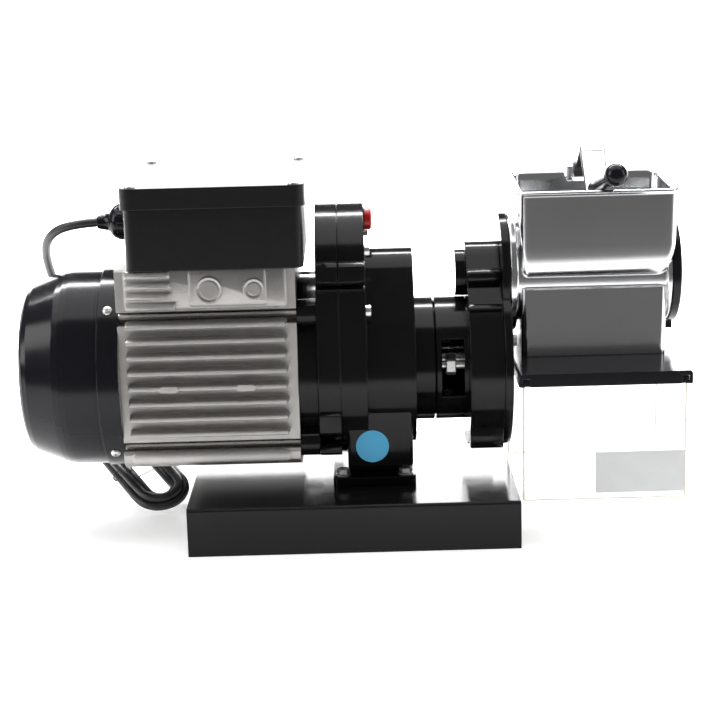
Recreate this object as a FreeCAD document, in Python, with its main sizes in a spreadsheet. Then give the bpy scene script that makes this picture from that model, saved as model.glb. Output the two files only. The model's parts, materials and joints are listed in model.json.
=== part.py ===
import FreeCAD, Part
import math
import os
import re
import Sketcher

# Electric grater: motor, reducer, gearbox, grating head, bin and base
# Frame: X runs from the fan cowl to the end cover, Y to the back, Z up, millimetres

os.makedirs("parts", exist_ok=True)
doc = FreeCAD.newDocument("electric_grater")
sheet = doc.addObject("Spreadsheet::Sheet", "Dimensions")

sizes = {
    "axis_height": 112.0,
    "cowl_length": 69.3,
    "stator_length": 119.0,
    "shield_length": 13.2,
    "rear_case_length": 15.0,
    "front_case_length": 18.0,
    "drum_case_length": 33.0,
    "neck_length": 13.5,
    "groove_length": 1.0,
    "collar_length": 21.8,
    "gearbox_length": 23.2,
    "cover_length": 5.5,
    "barrel_length": 110.0,
    "end_cover_length": 6.0,
    "base_length": 222.7,
    "base_half_width": 88.0,
    "base_height": 33.0,
    "sheet_thickness": 2.0,
    "base_lip": 14.0,
    "base_bin_gap": 1.5,
    "fin_reach": 70.0,
    "fin_root": 59.0,
    "fin_pitch": 10.1,
    "fin_thickness": 3.0,
    "pad_half_width": 62.0,
    "pad_rise": 79.0,
    "frame_drop": 70.0,
    "rod_across": 50.0,
    "rod_rise": 45.0,
    "rod_radius": 2.25,
    "slot_half_height": 5.0,
    "slot_root": 45.0,
    "core_radius": 52.0,
    "core_bore": 32.4,
    "core_start": 25.0,
    "core_length": 70.0,
    "air_gap": 0.6,
    "winding_length": 15.0,
    "shaft_radius": 8.0,
    "shaft_shoulder": 11.0,
    "bearing_radius": 17.5,
    "bearing_lip": 12.0,
    "running_fit": 0.05,
    "cowl_radius": 68.0,
    "cowl_ring": 69.5,
    "cowl_face": 57.0,
    "cowl_taper": 28.5,
    "cowl_ring_length": 14.3,
    "cowl_wall": 1.8,
    "shield_radius": 60.0,
    "lug_radius": 9.0,
    "fan_radius": 58.0,
    "case_radius": 64.0,
    "hump_radius": 58.8,
    "stage_distance": 52.0,
    "drum_case_radius": 58.0,
    "drum_case_top": 26.5,
    "neck_radius": 43.3,
    "groove_radius": 40.0,
    "collar_bore": 37.0,
    "case_wall": 4.0,
    "gear_width": 11.0,
    "tooth_module": 2.0,
    "motor_pinion_teeth": 12,
    "layshaft_gear_teeth": 40,
    "layshaft_pinion_teeth": 14,
    "output_gear_teeth": 38,
    "drive_gear_teeth": 46,
    "roller_pinion_teeth": 14,
    "tooth_rise": 1.3,
    "tooth_depth": 1.75,
    "gap_half": 1.78,
    "flank_slope": 0.38,
    "layshaft_radius": 7.0,
    "bush_wall": 5.0,
    "output_radius": 9.0,
    "roller_distance": 60.0,
    "gearbox_radius": 61.5,
    "boss_radius": 21.4,
    "cover_radius": 62.0,
    "flange_radius": 41.0,
    "flange_length": 5.5,
    "barrel_radius": 34.2,
    "barrel_ring": 37.0,
    "barrel_bore": 30.8,
    "drum_radius": 30.0,
    "drum_shaft_radius": 6.0,
    "hopper_start": 7.0,
    "hopper_length": 105.0,
    "hopper_half": 38.0,
    "hopper_rise": 60.0,
    "hopper_knee": 18.0,
    "wall": 3.0,
    "chute_inset": 0.7,
    "chute_length": 98.1,
    "chute_half": 36.5,
    "rim_thickness": 2.6,
    "rim_flare": 1.5,
    "hinge_back": 42.0,
    "hinge_rise": 64.0,
    "hinge_along": 61.0,
    "pin_radius": 3.0,
    "knuckle_radius": 6.0,
    "strap_half": 8.8,
    "strap_thickness": 2.0,
    "ear_thickness": 5.0,
    "side_gap": 0.4,
    "pusher_top": 12.0,
    "pusher_reach": 70.0,
    "pusher_half": 46.5,
    "box_inset": 9.2,
    "box_case_gap": 7.0,
    "box_overhang": 0.5,
    "box_height": 40.6,
    "lid_overhang": 2.3,
    "lid_height": 14.0,
    "gland_radius": 11.5,
    "gland_length": 28.0,
    "gland_back": 10.0,
    "gland_rise": 21.0,
    "button_radius": 7.5,
    "button_rise": 99.0,
    "button_stand": 5.8,
    "button_seat": 5.0,
    "foot_left": 3.5,
    "column_length": 44.5,
    "column_half": 30.0,
    "foot_half": 45.0,
    "foot_length": 57.0,
    "foot_overhang": 10.5,
    "foot_height": 6.0,
    "bolt_radius": 6.0,
    "lid_front": 85.0,
    "lid_back": 35.0,
    "tray_height": 8.7,
    "tray_start": 1.0,
    "tray_length": 114.0,
    "rail_wall": 2.2,
    "rail_lip": 1.8,
    "bin_inset": 3.5,
    "bin_length": 108.4,
    "bin_front": 82.0,
    "bin_back": 30.0,
    "bin_bottom": 31.0,
    "bin_wall": 2.5,
    "slide_gap": 0.25,
    "cord_radius": 3.25,
    "hank_radius": 8.0,
    "hank_fold": 14.0,
    "hank_straight": 87.0,
}

# Positions that follow from the sizes
derived = {
    "left_chain": "cowl_length + stator_length + shield_length",
    "case_chain": "rear_case_length + front_case_length + drum_case_length",
    "neck_chain": "neck_length + groove_length + collar_length + gearbox_length",
    "head_chain": "cover_length + barrel_length + end_cover_length",
    "case_start": "(left_chain - case_chain - neck_chain - head_chain) / 2",
    "shield_start": "case_start - shield_length",
    "stator_start": "shield_start - stator_length",
    "front_case_start": "case_start + rear_case_length",
    "drum_case_start": "front_case_start + front_case_length",
    "neck_start": "drum_case_start + drum_case_length",
    "collar_start": "neck_start + neck_length + groove_length",
    "gearbox_start": "collar_start + collar_length",
    "cover_start": "gearbox_start + gearbox_length",
    "barrel_start": "cover_start + cover_length",
    "roller_height": "axis_height + roller_distance",
    "chute_drop": "roller_height - tray_top",
    "tray_top": "bin_top + tray_height",
    "bin_top": "axis_height - bin_drop",
    "base_start": "barrel_start + bin_inset - base_bin_gap - base_length",
    "bin_start": "barrel_start + bin_inset",
    "box_start": "stator_start + box_inset",
    "box_bottom": "axis_height + pad_rise",
    "box_length": "case_start - box_case_gap - box_start",
    "box_half": "fin_reach + box_overhang",
}
sizes["bin_drop"] = 2.0

for row, (name, value) in enumerate(sizes.items(), 1):
    sheet.set("A%d" % row, name)
    sheet.set("B%d" % row, str(value))
    sheet.setAlias("B%d" % row, name)
doc.recompute()

word_pattern = re.compile(r"[a-z]+(?:_[a-z]+)*")


def link(text):
    def swap(found):
        word = found.group()
        if word in derived:
            return "(" + link(derived[word]) + ")"
        if word in sizes:
            return "Dimensions." + word
        return word
    return word_pattern.sub(swap, str(text))


def number(text):
    return float(sheet.evalExpression(link(text)))


def new_body(label, along="0", across="0", height="0", several=False):
    body = doc.addObject("PartDesign::Body", label)
    body.Label = label
    body.AllowCompound = several
    for axis, text in (("x", along), ("y", across), ("z", height)):
        body.setExpression("Placement.Base." + axis, link(text))
    nodes.append(body)
    return body


def new_sketch(body, plane, start="0"):
    sketch = body.newObject("Sketcher::SketchObject", body.Name + "_sketch")
    for feature in body.Origin.OriginFeatures:
        if feature.Role == plane:
            sketch.AttachmentSupport = [(feature, "")]
    sketch.MapMode = "FlatFace"
    if start != "0":
        sketch.setExpression("AttachmentOffset.Base.z", link(start))
    return sketch


class Rules:
    def __init__(self, sketch):
        self.sketch = sketch
        self.rules = []
        self.texts = []

    def add(self, kind, *values):
        self.rules.append(Sketcher.Constraint(kind, *values))

    def size(self, kind, values, text):
        self.texts.append((len(self.rules), text))
        self.add(kind, *values, number(text))

    def locate(self, item, spot, across, along):
        for kind, text, line in (("DistanceX", across, -2), ("DistanceY", along, -1)):
            if text == "0":
                self.add("Vertical" if line == -2 else "Horizontal", item, spot, -1, 1)
            else:
                self.size(kind, (item, spot), text)

    def finish(self):
        first = self.sketch.ConstraintCount
        self.sketch.addConstraint(self.rules)
        for index, text in self.texts:
            self.sketch.setExpression("Constraints[%d]" % (first + index), link(text))


def draw_corners(sketch, corners):
    spots = [FreeCAD.Vector(number(c[0]), number(c[1]), 0) for c in corners]
    rounds = [number(c[2]) if len(c) > 2 else 0.0 for c in corners]
    count = len(spots)
    arrive, leave, middle = [], [], []
    for index in range(count):
        here = spots[index]
        back = (spots[index - 1] - here).normalize()
        ahead = (spots[(index + 1) % count] - here).normalize()
        half = back.getAngle(ahead) / 2
        reach = rounds[index] / math.tan(half)
        inward = (back + ahead)
        if rounds[index]:
            inward.normalize()
        depth = rounds[index] / math.sin(half) - rounds[index]
        arrive.append(here + back * reach)
        leave.append(here + ahead * reach)
        middle.append(here + inward * depth)
    rules = Rules(sketch)
    lines = []
    for index in range(count):
        segment = Part.LineSegment(leave[index], arrive[(index + 1) % count])
        lines.append(sketch.addGeometry(segment))
    for index in range(count):
        before, after = lines[index - 1], lines[index]
        across, along = corners[index][0], corners[index][1]
        if rounds[index]:
            arc = sketch.addGeometry(Part.Arc(arrive[index], middle[index], leave[index]))
            near = sketch.Geometry[arc].StartPoint.distanceToPoint(arrive[index]) < 1e-6
            rules.add("Tangent", before, 2, arc, 1 if near else 2)
            rules.add("Tangent", after, 1, arc, 2 if near else 1)
            rules.size("Radius", (arc,), corners[index][2])
            mark = sketch.addGeometry(Part.Point(spots[index]), True)
            rules.locate(mark, 1, across, along)
            rules.add("PointOnObject", mark, 1, before)
            rules.add("PointOnObject", mark, 1, after)
        else:
            rules.add("Coincident", before, 2, after, 1)
            rules.locate(after, 1, across, along)
    rules.finish()


def draw_circle(sketch, across, along, radius):
    centre = FreeCAD.Vector(number(across), number(along), 0)
    up = FreeCAD.Vector(0, 0, 1)
    item = sketch.addGeometry(Part.Circle(centre, up, number(radius)))
    rules = Rules(sketch)
    rules.locate(item, 3, across, along)
    rules.size("Radius", (item,), radius)
    rules.finish()


def draw_egg(sketch, low_radius, high_radius, distance):
    low, high, gap = number(low_radius), number(high_radius), number(distance)
    lean = math.asin((low - high) / gap)
    centre = FreeCAD.Vector(0, 0, 0)
    top = FreeCAD.Vector(0, gap, 0)
    side = FreeCAD.Vector(math.cos(lean), math.sin(lean), 0)
    other = FreeCAD.Vector(-math.cos(lean), math.sin(lean), 0)
    down = FreeCAD.Vector(0, -1, 0)
    lower = sketch.addGeometry(Part.Arc(other * low, down * low, side * low))
    upper = sketch.addGeometry(Part.Arc(top + side * high, top - down * high, top + other * high))
    right = sketch.addGeometry(Part.LineSegment(side * low, top + side * high))
    left = sketch.addGeometry(Part.LineSegment(top + other * high, other * low))
    rules = Rules(sketch)
    rules.add("Tangent", lower, 2, right, 1)
    rules.add("Tangent", right, 2, upper, 1)
    rules.add("Tangent", upper, 2, left, 1)
    rules.add("Tangent", left, 2, lower, 1)
    rules.add("Coincident", lower, 3, -1, 1)
    rules.locate(upper, 3, "0", distance)
    rules.size("Radius", (lower,), low_radius)
    rules.size("Radius", (upper,), high_radius)
    rules.finish()


def draw(sketch, loops):
    for loop in loops:
        if loop[0] == "circle":
            draw_circle(sketch, *loop[1:])
        elif loop[0] == "egg":
            draw_egg(sketch, *loop[1:])
        else:
            draw_corners(sketch, loop)


def pad(body, plane, start, length, loops):
    sketch = new_sketch(body, plane, start)
    draw(sketch, loops)
    feature = body.newObject("PartDesign::Pad", body.Name + "_pad")
    feature.Profile = sketch
    feature.setExpression("Length", link(length))
    body.Tip = feature
    return feature


def cut(body, plane, start, length, loops):
    sketch = new_sketch(body, plane, start)
    draw(sketch, loops)
    feature = body.newObject("PartDesign::Pocket", body.Name + "_pocket")
    feature.Profile = sketch
    feature.Reversed = True
    feature.setExpression("Length", link(length))
    body.Tip = feature
    return feature


def spin(body, loops):
    sketch = new_sketch(body, "XY_Plane")
    draw(sketch, loops)
    feature = body.newObject("PartDesign::Revolution", body.Name + "_turned")
    feature.Profile = sketch
    feature.ReferenceAxis = (sketch, ["H_Axis"])
    feature.Angle = 360
    body.Tip = feature
    return feature


def ring_around(body, feature, count):
    pattern = body.newObject("PartDesign::PolarPattern", body.Name + "_around")
    pattern.Originals = [feature]
    pattern.Axis = (feature.Profile[0], ["N_Axis"])
    pattern.Angle = 360
    pattern.setExpression("Occurrences", link(count))
    body.Tip = pattern
    return pattern


def ring(start, end, inner, outer):
    return [(start, inner), (start, outer), (end, outer), (end, inner)]


def disc(start, end, outer):
    return [(start, "0"), (start, outer), (end, outer), (end, "0")]


def box_loop(left, right, low, high):
    return [(left, low), (right, low), (right, high), (left, high)]


def polygon(across, along, radius, count):
    corners = []
    for step in range(count):
        angle = 2 * math.pi * step / count
        corners.append(("(%s) + (%s) * %.4f" % (across, radius, math.cos(angle)),
                        "(%s) + (%s) * %.4f" % (along, radius, math.sin(angle))))
    return corners


nodes = []

# Base: folded channel
base = new_body("base_channel", "base_start")
half = "base_half_width"
inner = "base_half_width - sheet_thickness"
lip = "base_half_width - base_lip"
section = []
for sign in ("-", ""):
    section.append([
        (sign + "(" + lip + ")", "sheet_thickness"),
        (sign + "(" + lip + ")", "0"),
        (sign + half, "0"),
        (sign + half, "base_height - 1.5"),
        (sign + "(" + half + " - 1.5)", "base_height"),
    ])
inside = []
for sign in ("", "-"):
    inside.append([
        (sign + "(" + inner + ")", "sheet_thickness"),
        (sign + "(" + inner + ")", "base_height - sheet_thickness"),
    ])
corners = section[0] + list(reversed(section[1]))
corners += inside[0] + list(reversed(inside[1]))
pad(base, "YZ_Plane", "0", "base_length", [corners])

# Motor: stator frame with side fins, top pad and rod slots
frame = new_body("stator_frame", "stator_start", "0", "axis_height")
side = [
    ("54", "-frame_drop", "4"),
    ("pad_half_width", "-frame_drop + 9", "3"),
    ("pad_half_width", "-rod_rise - slot_half_height"),
    ("slot_root", "-rod_rise - slot_half_height"),
    ("slot_root", "-rod_rise + slot_half_height"),
    ("fin_root", "-rod_rise + slot_half_height"),
]
for step in range(8):
    for edge, reach in ((-1, "fin_root"), (-0.7, "fin_reach"), (0.7, "fin_reach"), (1, "fin_root")):
        side.append((reach, "fin_pitch * %.1f + fin_thickness * %.1f / 2" % (step - 3.5, edge)))
side += [
    ("fin_root", "rod_rise - slot_half_height"),
    ("slot_root", "rod_rise - slot_half_height"),
    ("slot_root", "rod_rise + slot_half_height"),
    ("pad_half_width", "rod_rise + slot_half_height"),
    ("pad_half_width", "pad_rise", "2"),
]
mirrored = [("-(" + c[0] + ")",) + tuple(c[1:]) for c in reversed(side)]
pad(frame, "YZ_Plane", "0", "stator_length", [side + mirrored, ("circle", "0", "0", "core_radius")])

core = new_body("stator_core", "stator_start", "0", "axis_height")
spin(core, [ring("core_start", "core_start + core_length", "core_bore", "core_radius")])

windings = new_body("stator_windings", "stator_start", "0", "axis_height", True)
core_end = "core_start + core_length"
spin(windings, [
    ring("core_start - winding_length", "core_start", "core_bore + 2", "core_radius - 4"),
    ring(core_end, core_end + " + winding_length", "core_bore + 2", "core_radius - 4"),
])

# Motor: end shields, tie rods, cowl
shield = new_body("drive_end_shield", "shield_start", "0", "axis_height")
spin(shield, [[
    ("0", "bearing_lip"), ("0", "shield_radius"), ("shield_length", "shield_radius"),
    ("shield_length", "bearing_radius"), ("2.2", "bearing_radius"), ("2.2", "bearing_lip"),
]])
rod_spots = [(a + "rod_across", b + "rod_rise") for a in ("", "-") for b in ("", "-")]
pad(shield, "YZ_Plane", "0", "shield_length", [("circle", a, b, "lug_radius") for a, b in rod_spots])

fan_shield = new_body("fan_end_shield", "stator_start", "0", "axis_height")
skirt_bore = "cowl_ring - cowl_wall"
spin(fan_shield, [[
    ("-11", "bearing_lip"), ("-11", "24"), ("-8", "24"), ("-8", skirt_bore),
    ("0", skirt_bore), ("0", "bearing_radius"), ("-9", "bearing_radius"), ("-9", "bearing_lip"),
]])

rods = new_body("tie_rods", "stator_start", "0", "axis_height", True)
pad(rods, "YZ_Plane", "0", "stator_length", [polygon(a, b, "rod_radius", 8) for a, b in rod_spots])

cowl = new_body("fan_cowl", "stator_start", "0", "axis_height")
spin(cowl, [[
    ("-cowl_length", "0"),
    ("-cowl_length", "cowl_face - 5"),
    ("-cowl_length + 0.8", "cowl_face - 2"),
    ("-cowl_length + 2.6", "cowl_face + 0.3"),
    ("-cowl_length + 6", "cowl_face + 2.4"),
    ("-cowl_length + cowl_taper - 4", "cowl_radius - 1.4"),
    ("-cowl_length + cowl_taper", "cowl_radius - 0.4"),
    ("-cowl_length + cowl_taper + 4", "cowl_radius"),
    ("-cowl_ring_length", "cowl_radius"),
    ("-cowl_ring_length", "cowl_ring"),
    ("0", "cowl_ring"),
    ("0", skirt_bore),
    ("-cowl_ring_length - 2", skirt_bore),
    ("-cowl_ring_length - 2", "cowl_radius - cowl_wall"),
    ("-cowl_length + cowl_taper + 4", "cowl_radius - cowl_wall"),
    ("-cowl_length + 7", "cowl_face + 0.6"),
    ("-cowl_length + cowl_wall", "cowl_face - cowl_wall - 4"),
    ("-cowl_length + cowl_wall", "0"),
]])
vent = cut(cowl, "YZ_Plane", "-cowl_length - 1", "cowl_wall + 2", [box_loop("-2", "2", "18", "48")])
ring_around(cowl, vent, "20")

cowl_screws = new_body("cowl_screws", "stator_start - cowl_ring_length / 2", "0", "axis_height", True)
cowl_screws.Placement.Rotation = FreeCAD.Rotation(FreeCAD.Vector(1, 0, 0), 45)
screw = pad(cowl_screws, "XY_Plane", "cowl_ring + 0.02", "2.2", [polygon("0", "0", "3.4", 8)])
screw_ring = cowl_screws.newObject("PartDesign::PolarPattern", "cowl_screws_around")
screw_ring.Originals = [screw]
for item in cowl_screws.Origin.OriginFeatures:
    if item.Role == "X_Axis":
        screw_ring.Axis = (item, [""])
screw_ring.Angle = 360
screw_ring.Occurrences = 4
cowl_screws.Tip = screw_ring

# Motor: bearings and rotor
bearings = new_body("motor_bearings", "stator_start", "0", "axis_height", True)
shield_at = "stator_length"
spin(bearings, [
    ring("-9", "0", "shaft_radius + running_fit", "bearing_radius"),
    ring(shield_at + " + 2.2", shield_at + " + shield_length", "shaft_radius + running_fit", "bearing_radius"),
])

rotor_shaft = new_body("rotor_shaft", "stator_start", "0", "axis_height")
shaft_end = "stator_length + shield_length + case_wall + 2 + gear_width + 1"
spin(rotor_shaft, [[
    ("-40", "0"), ("-40", "shaft_radius"), ("core_start - 5", "shaft_radius"),
    ("core_start - 5", "shaft_shoulder"), ("core_start + core_length + 5", "shaft_shoulder"),
    ("core_start + core_length + 5", "shaft_radius"), (shaft_end, "shaft_radius"), (shaft_end, "0"),
]])
rotor_core = new_body("rotor_core", "stator_start", "0", "axis_height")
spin(rotor_core, [ring("core_start", "core_start + core_length", "shaft_shoulder", "core_bore - air_gap")])

fan = new_body("cooling_fan", "stator_start", "0", "axis_height")
spin(fan, [[
    ("-38", "shaft_radius"), ("-38", "14"), ("-20", "14"), ("-20", "fan_radius"),
    ("-18", "fan_radius"), ("-18", "shaft_radius"),
]])
blade = pad(fan, "YZ_Plane", "-36", "17", [box_loop("-1.2", "1.2", "12", "fan_radius - 1")])
ring_around(fan, blade, "8")


def gear(label, along, height, teeth, bore, width, turned=False):
    body = new_body(label, along, "0", height)
    pitch = "tooth_module * %s / 2" % teeth
    spin(body, [ring("0", width, bore, pitch + " + tooth_rise")])
    root = pitch + " - tooth_depth"
    low = "gap_half - flank_slope * tooth_depth"
    high = "gap_half + flank_slope * (tooth_rise + 1)"
    rim = pitch + " + tooth_rise + 1"
    gap = cut(body, "YZ_Plane", "0", width, [[
        ("-(" + low + ")", root), (low, root), (high, rim), ("-(" + high + ")", rim),
    ]])
    ring_around(body, gap, teeth)
    if turned:
        body.Placement.Rotation = FreeCAD.Rotation(FreeCAD.Vector(1, 0, 0), 1)
        body.setExpression("Placement.Rotation.Angle", link("180 / " + teeth))
    return body


gear("motor_pinion", "case_start + case_wall + 2", "axis_height", "motor_pinion_teeth",
     "shaft_radius", "gear_width", True)

# Reducer: rear case, front case with drum, neck and foot
rear_case = new_body("gearcase_rear", "case_start", "0", "axis_height")
pad(rear_case, "YZ_Plane", "0", "rear_case_length", [("egg", "case_radius", "hump_radius", "stage_distance")])
stage_bore = "layshaft_gear_teeth * tooth_module / 2 + tooth_rise + 2.5"
cut(rear_case, "YZ_Plane", "case_wall", "rear_case_length", [
    ("egg", "case_radius - 14", stage_bore, "stage_distance"),
])
cut(rear_case, "YZ_Plane", "0", "case_wall", [("circle", "0", "0", "shaft_radius + 2")])
cut(rear_case, "YZ_Plane", "1.5", "case_wall", [
    ("circle", "0", "stage_distance", "layshaft_radius + bush_wall"),
])

front_case = new_body("gearcase_front", "front_case_start", "0", "axis_height")
pad(front_case, "YZ_Plane", "0", "front_case_length", [
    ("egg", "case_radius", "hump_radius", "stage_distance"),
])
pad(front_case, "YZ_Plane", "front_case_length", "drum_case_length", [
    ("egg", "drum_case_radius", "drum_case_top", "stage_distance"),
])
drum_end = "front_case_length + drum_case_length"
pad(front_case, "YZ_Plane", drum_end, "neck_length", [("circle", "0", "0", "neck_radius")])
pad(front_case, "YZ_Plane", drum_end + " + neck_length", "groove_length", [("circle", "0", "0", "groove_radius")])
foot_top = "base_height + foot_height - axis_height"
pad(front_case, "XY_Plane", foot_top, "axis_height - base_height - foot_height - 30", [
    box_loop("foot_left", "foot_left + column_length", "-column_half", "column_half"),
])
foot_start = "foot_left - foot_overhang"
pad(front_case, "XY_Plane", "base_height - axis_height", "foot_height", [[
    (foot_start, "-foot_half", "5"), (foot_start + " + foot_length", "-foot_half", "5"),
    (foot_start + " + foot_length", "foot_half", "5"), (foot_start, "foot_half", "5"),
]])
cut(front_case, "YZ_Plane", "0", "front_case_length / 2", [
    ("egg", "case_radius - 14", stage_bore, "stage_distance"),
])
cut(front_case, "YZ_Plane", "front_case_length", "drum_case_length - 5", [
    ("egg", "output_gear_teeth * tooth_module / 2 + 5", "drum_case_top - 5", "stage_distance"),
])
bore_radius = "output_radius + bush_wall"
cut(front_case, "YZ_Plane", "front_case_length / 2", "front_case_length / 2", [
    ("circle", "0", "0", bore_radius), ("circle", "0", "stage_distance", "layshaft_radius + 4"),
])
cut(front_case, "YZ_Plane", drum_end + " - 5", "20", [("circle", "0", "0", bore_radius)])
cut(front_case, "YZ_Plane", drum_end + " - 5", "3.5", [
    ("circle", "0", "stage_distance", "layshaft_radius + bush_wall"),
])
cut(front_case, "YZ_Plane", "front_case_length - button_seat", "button_seat", [
    ("circle", "0", "button_rise", "button_radius + running_fit + 1"),
])

# Reducer: shafts and gears
lay_bushes = new_body("layshaft_bushes", "front_case_start", "0", "axis_height + stage_distance", True)
lay_left = "-rear_case_length + 1.5"
lay_right = drum_end + " - 1.5"
spin(lay_bushes, [
    ring(lay_left, "-rear_case_length + case_wall + 1", "layshaft_radius + running_fit",
         "layshaft_radius + bush_wall"),
    ring(drum_end + " - 6", lay_right, "layshaft_radius + running_fit", "layshaft_radius + bush_wall"),
])
layshaft = new_body("layshaft", "front_case_start", "0", "axis_height + stage_distance")
spin(layshaft, [disc(lay_left + " + 0.3", lay_right + " - 0.3", "layshaft_radius")])
gear("layshaft_gear", "case_start + case_wall + 2", "axis_height + stage_distance", "layshaft_gear_teeth",
     "layshaft_radius", "gear_width")
gear("layshaft_pinion", "drum_case_start + 2", "axis_height + stage_distance", "layshaft_pinion_teeth",
     "layshaft_radius", "drum_case_length - 11")

output_bushes = new_body("output_bushes", "front_case_start", "0", "axis_height", True)
housing_at = drum_end + " + neck_length + groove_length + collar_length"
out_inner = "output_radius + running_fit"
spin(output_bushes, [
    ring("front_case_length / 2", "front_case_length", out_inner, bore_radius),
    ring(drum_end + " - 5", drum_end + " + 8", out_inner, bore_radius),
    ring(housing_at, housing_at + " + 5", out_inner, bore_radius),
    ring(housing_at + " + gearbox_length", housing_at + " + gearbox_length + 3.5", out_inner, bore_radius),
])
output_shaft = new_body("output_shaft", "front_case_start", "0", "axis_height")
spin(output_shaft, [disc("front_case_length / 2 + 1", housing_at + " + gearbox_length + 3", "output_radius")])
gear("output_gear", "drum_case_start + 2", "axis_height", "output_gear_teeth",
     "output_radius", "drum_case_length - 11", True)
gear("drive_gear", "gearbox_start + 7", "axis_height", "drive_gear_teeth",
     "output_radius", "gearbox_length - 9", True)

# Reducer: overload reset button on the hump
switch = new_body("reset_switch_body", "front_case_start", "0", "axis_height + button_rise")
spin(switch, [ring("front_case_length - button_seat", "front_case_length + 1",
                   "button_radius + running_fit", "button_radius + running_fit + 1")])
button = new_body("reset_button", "front_case_start", "0", "axis_height + button_rise")
spin(button, [[
    ("front_case_length - 2.5", "0"), ("front_case_length - 2.5", "button_radius"),
    ("front_case_length + button_stand - 1", "button_radius"),
    ("front_case_length + button_stand", "button_radius - 1"),
    ("front_case_length + button_stand", "0"),
]])

# Studs between the neck and the grating gearbox, with nuts
studs = new_body("neck_studs", "neck_start + neck_length + groove_length", "0", "axis_height", True)
stud_spots = [("-30", "3"), ("30", "3"), ("0", "-30"), ("0", "30")]
pad(studs, "YZ_Plane", "0", "collar_length", [polygon(a, b, "3", 8) for a, b in stud_spots])
pad(studs, "YZ_Plane", "8", "5", [polygon(a, b, "6", 6) for a, b in stud_spots])

# Grating gearbox: housing with collar, cover, screws
housing = new_body("gearbox_housing", "collar_start", "0", "axis_height")
spin(housing, [ring("0", "collar_length", "collar_bore", "neck_radius")])
pad(housing, "YZ_Plane", "collar_length", "gearbox_length", [
    ("egg", "gearbox_radius", "boss_radius", "roller_distance"),
])
pad(housing, "YZ_Plane", "collar_length - 7", "7", [("circle", "0", "roller_distance", "16")])
cut(housing, "YZ_Plane", "collar_length + 5", "gearbox_length", [
    ("egg", "drive_gear_teeth * tooth_module / 2 + tooth_rise + 3",
     "roller_pinion_teeth * tooth_module / 2 + tooth_rise + 2", "roller_distance"),
])
cut(housing, "YZ_Plane", "collar_length", "5", [("circle", "0", "0", bore_radius)])
cut(housing, "YZ_Plane", "collar_length - 5", "10", [
    ("circle", "0", "roller_distance", "drum_shaft_radius + bush_wall"),
])
cut(housing, "XZ_Plane", "20", "40", [box_loop("3.5", "collar_length - 3", "-19", "21")])

cover = new_body("gearbox_cover", "cover_start", "0", "axis_height")
pad(cover, "YZ_Plane", "0", "cover_length", [("circle", "0", "0", "cover_radius")])
pad(cover, "YZ_Plane", "0", "cover_length", [("circle", "0", "roller_distance", "flange_radius")])
cut(cover, "YZ_Plane", "0", "3.5", [("circle", "0", "0", bore_radius)])
cut(cover, "YZ_Plane", "0", "cover_length", [
    ("circle", "0", "roller_distance", "drum_shaft_radius + bush_wall"),
])
cover_screws = new_body("cover_screws", "cover_start", "0", "axis_height", True)
pad(cover_screws, "YZ_Plane", "cover_length", "3", [polygon(a + "50", "22", "4", 8) for a in ("", "-")])

# Grating head: cast body with hopper, barrel and chute
head = new_body("grater_body", "barrel_start", "0", "roller_height")
hopper_end = "hopper_start + hopper_length"
outer = [
    ("hopper_half", "hopper_rise"), ("hopper_half", "hopper_knee", "6"), ("barrel_radius", "2"),
    ("barrel_radius", "-6"), ("chute_half", "-8"), ("chute_half", "-(chute_drop)"),
]
pad(head, "YZ_Plane", "hopper_start", "hopper_length",
    [outer + [("-" + c[0],) + tuple(c[1:]) for c in reversed(outer)]])
chute_start = "hopper_start + chute_inset"
chute_end = chute_start + " + chute_length"
cut(head, "XZ_Plane", "-hopper_half - 1", "hopper_half * 2 + 2", [[
    (chute_end, "-(chute_drop) - 1"), (hopper_end + " + 1", "-(chute_drop) - 1"),
    (hopper_end + " + 1", "hopper_rise - 8"), (hopper_end, "hopper_rise - 8"),
    (hopper_end + " - 4.5", "36", "12"), (chute_end, "4", "20"),
]])
pad(head, "YZ_Plane", "0", "barrel_length", [("circle", "0", "0", "barrel_radius")])
pad(head, "YZ_Plane", "barrel_length - 4", "4", [("circle", "0", "0", "barrel_ring")])
pad(head, "YZ_Plane", "0", "flange_length", [("circle", "0", "0", "flange_radius")])
rim_left = "hopper_start - rim_flare - 2"
pad(head, "XY_Plane", "hopper_rise - rim_thickness", "rim_thickness", [[
    (rim_left, "-hopper_half - rim_flare", "3"),
    (hopper_end + " + rim_flare", "-hopper_half - rim_flare", "3"),
    (hopper_end + " + rim_flare", "hopper_half + rim_flare", "3"),
    (rim_left, "hopper_half + rim_flare", "3"),
]])
ear_gap = "strap_half + side_gap"
for low in ("hinge_along - " + ear_gap.replace(" + ", " - ") + " - ear_thickness", "hinge_along + " + ear_gap):
    pad(head, "YZ_Plane", low, "ear_thickness", [[
        ("hopper_half - 1", "hopper_rise - 12"), ("hinge_back + 5", "hinge_rise - 5"),
        ("hinge_back + 5", "hinge_rise + 5", "4"), ("hopper_half - 1", "hinge_rise + 5", "4"),
    ]])
cut(head, "YZ_Plane", "hinge_along - 20", "40", [("circle", "hinge_back", "hinge_rise", "pin_radius")])
cut(head, "YZ_Plane", "hinge_along - strap_half - side_gap", "(strap_half + side_gap) * 2", [
    ("circle", "hinge_back", "hinge_rise", "knuckle_radius + side_gap"),
])
inner_left = "hopper_start + wall"
inner_half = "hopper_half - wall"
inner_end = chute_end + " - 1.5"
cut(head, "XZ_Plane", "-" + inner_half.replace(" - ", " + "), "hopper_half * 2 - wall * 2", [[
    (inner_left, "hopper_rise + 1"), (hopper_end + " - wall", "hopper_rise + 1"),
    (hopper_end + " - wall", "hopper_rise - 20"), (inner_end, "hopper_knee"), (inner_left, "hopper_knee"),
]])
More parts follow.
